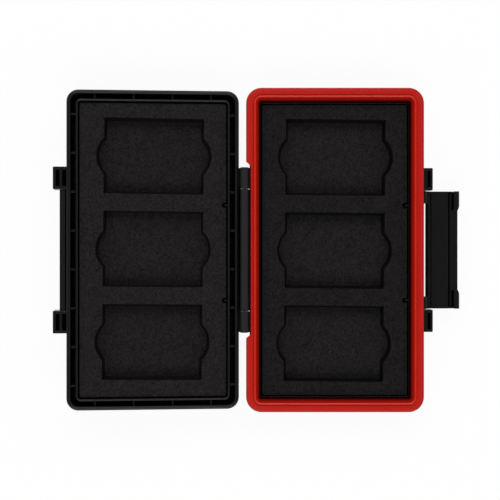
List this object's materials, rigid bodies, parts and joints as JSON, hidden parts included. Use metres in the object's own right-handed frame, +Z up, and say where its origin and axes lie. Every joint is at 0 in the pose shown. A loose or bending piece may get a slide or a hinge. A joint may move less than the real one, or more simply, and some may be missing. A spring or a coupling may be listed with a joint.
{
  "type": "memory card case",
  "caption": "Hinged hard-shell memory card case lying open, with foam card pockets in both halves, a red seal around the base rim and a pivoting snap latch.",
  "frame": {"origin": "middle of the base half's flat underside", "axes": "+X across both halves from the lid towards the latch, +Y along the hinge, +Z up out of the open base"},
  "size_m": [0.1577, 0.1256, 0.018],
  "materials": {
    "shell_plastic": "black moulded plastic, fine satin grain",
    "seal_silicone": "smooth satin red silicone",
    "foam": "black closed-cell foam, die-cut, matt",
    "pin_steel": "drawn steel wire"
  },
  "bodies": {
    "base": {"base_shell": "shell_plastic", "rim_seal": "seal_silicone", "base_foam_backing": "foam", "base_foam_tray": "foam", "hinge_pin_rear": "pin_steel", "hinge_pin_front": "pin_steel", "latch_pin_rear": "pin_steel", "latch_pin_front": "pin_steel"},
    "lid": {"lid_shell": "shell_plastic", "lid_foam_backing": "foam", "lid_foam_tray": "foam"},
    "latch": {"latch_flap": "shell_plastic"}
  },
  "joints": [
    {"name": "lid_hinge", "type": "hinge", "parent": "base", "child": "lid", "pos_m": [-0.03515, 0, 0.012], "axis": [0, 1, 0], "range_deg": [0, 175.2]},
    {"name": "latch_hinge", "type": "hinge", "parent": "base", "child": "latch", "pos_m": [0.03515, 0, 0.0078], "axis": [0, -1, 0], "range_deg": [0, 90]}
  ]
}
